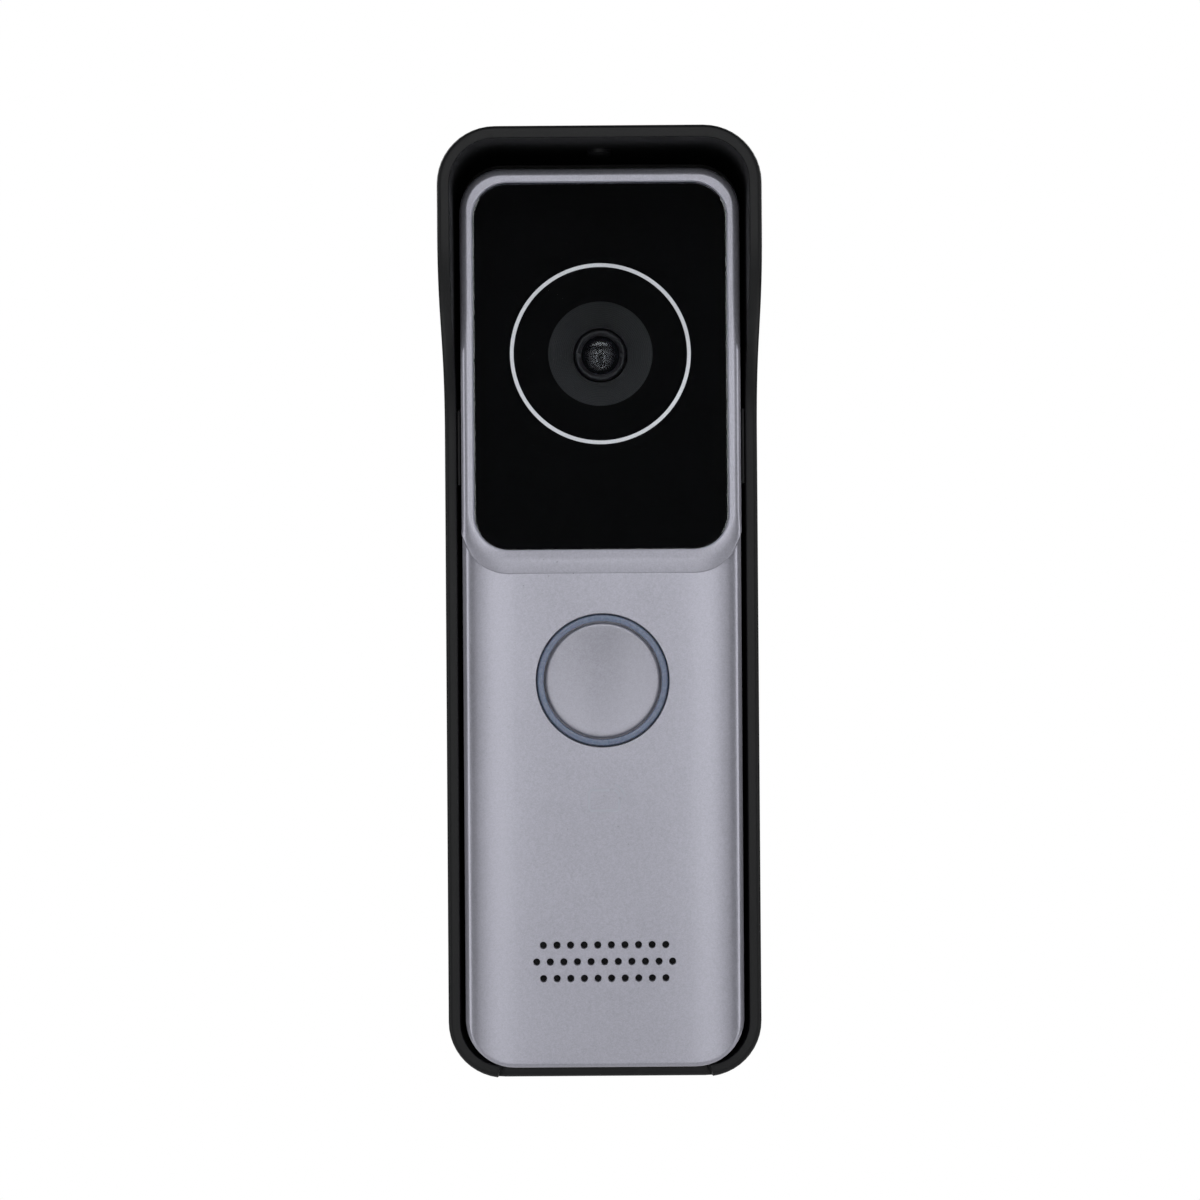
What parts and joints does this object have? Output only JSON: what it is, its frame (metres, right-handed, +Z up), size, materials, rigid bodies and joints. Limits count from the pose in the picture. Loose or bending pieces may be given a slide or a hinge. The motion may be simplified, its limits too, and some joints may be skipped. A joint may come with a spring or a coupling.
{
  "type": "video doorbell",
  "caption": "Slim wall-mounted video doorbell in a black rain hood, with a camera behind a dark window, a round lit call button, a card reader and a speaker.",
  "frame": {"origin": "centre of the rain hood's flat back face, which lies on the wall", "axes": "+Z up, +Y into the wall, so the doorbell faces -Y"},
  "size_m": [0.0496, 0.041, 0.1478],
  "materials": {
    "hood_plastic": "fine textured black, satin",
    "shell_plastic": "textured black",
    "silver_paint": "fine-grain silver metallic paint, satin",
    "window_glass": "clear, polished, ground edges",
    "black_film": "black print",
    "matte_black": "dead matt",
    "barrel_metal": "black anodised",
    "lens_glass": "coated, polished",
    "rubber": "matt",
    "silicone": "translucent, matt",
    "light_guide": "translucent blue grey",
    "circuit_board": "green solder mask",
    "chip_plastic": "moulded, matt",
    "tinned_steel": "tinned",
    "copper": "enamelled copper",
    "steel": "zinc plated",
    "light_plastic": "moulded",
    "terminal_plastic": "moulded green",
    "cone_paper": "pressed paper",
    "mesh_cloth": "fine woven cloth"
  },
  "bodies": {
    "root": {"rain_hood": "hood_plastic", "cable_grommet": "rubber", "retaining_screw": "steel", "rear_shell": "shell_plastic", "case_seal": "rubber", "front_cover": "silver_paint", "front_glass": "window_glass", "glass_mask_film": "black_film", "glass_tape": "black_film", "case_screw_1": "steel", "case_screw_2": "steel", "case_screw_3": "steel", "case_screw_4": "steel", "main_board": "circuit_board", "main_processor": "chip_plastic", "memory_chip": "chip_plastic", "wifi_shield_can": "tinned_steel", "wifi_antenna": "copper", "supply_capacitor": "tinned_steel", "supply_inductor": "chip_plastic", "card_antenna": "circuit_board", "terminal_block": "terminal_plastic", "reset_switch": "chip_plastic", "microphone_boot": "rubber", "microphone": "tinned_steel", "camera_board": "circuit_board", "camera_ribbon": "light_plastic", "ir_board": "circuit_board", "ir_led_left": "light_plastic", "ir_led_right": "light_plastic", "light_sensor": "chip_plastic", "board_screw_1": "steel", "board_screw_2": "steel", "camera_screw_1": "steel", "camera_screw_2": "steel", "lens_baffle_cone": "matte_black", "lens_barrel": "barrel_metal", "lens_retaining_ring": "barrel_metal", "lens_front_element": "lens_glass", "lens_rear_element": "lens_glass", "lens_mount": "matte_black", "ir_cut_frame": "matte_black", "ir_cut_coil": "copper", "image_sensor": "chip_plastic", "button_light_ring": "light_guide", "button_seal": "silicone", "call_switch_body": "chip_plastic", "ring_led_1": "light_plastic", "ring_led_2": "light_plastic", "ring_led_3": "light_plastic", "ring_led_4": "light_plastic", "speaker_frame": "matte_black", "speaker_magnet": "steel", "speaker_gasket": "rubber", "grille_mesh": "mesh_cloth"},
    "call_button": {"button_cap": "silver_paint"},
    "switch_plunger": {"call_switch_plunger": "light_plastic"},
    "reset_key": {"reset_key": "light_plastic"},
    "speaker_cone": {"speaker_cone": "cone_paper"},
    "filter_slide": {"ir_cut_carriage": "lens_glass"}
  },
  "joints": [
    {"name": "call_button_press", "type": "slide", "parent": "root", "child": "call_button", "axis": [0, 1, 0], "range_m": [0, 0.0006], "stiffness_N_per_m": 400, "springref_m": -0.003},
    {"name": "switch_plunger_press", "type": "slide", "parent": "root", "child": "switch_plunger", "axis": [0, 1, 0], "range_m": [0, 0.0006]},
    {"name": "reset_key_press", "type": "slide", "parent": "root", "child": "reset_key", "axis": [0, -1, 0], "range_m": [0, 0.0004], "stiffness_N_per_m": 300, "springref_m": -0.003},
    {"name": "speaker_cone_travel", "type": "slide", "parent": "root", "child": "speaker_cone", "axis": [0, -1, 0], "range_m": [-0.0003, 0.0003], "stiffness_N_per_m": 300},
    {"name": "filter_slide_travel", "type": "slide", "parent": "root", "child": "filter_slide", "axis": [1, 0, 0], "range_m": [0, 0.005]}
  ],
  "couplings": [
    {"joint": "switch_plunger_press", "follows": "call_button_press", "ratio": 1}
  ]
}
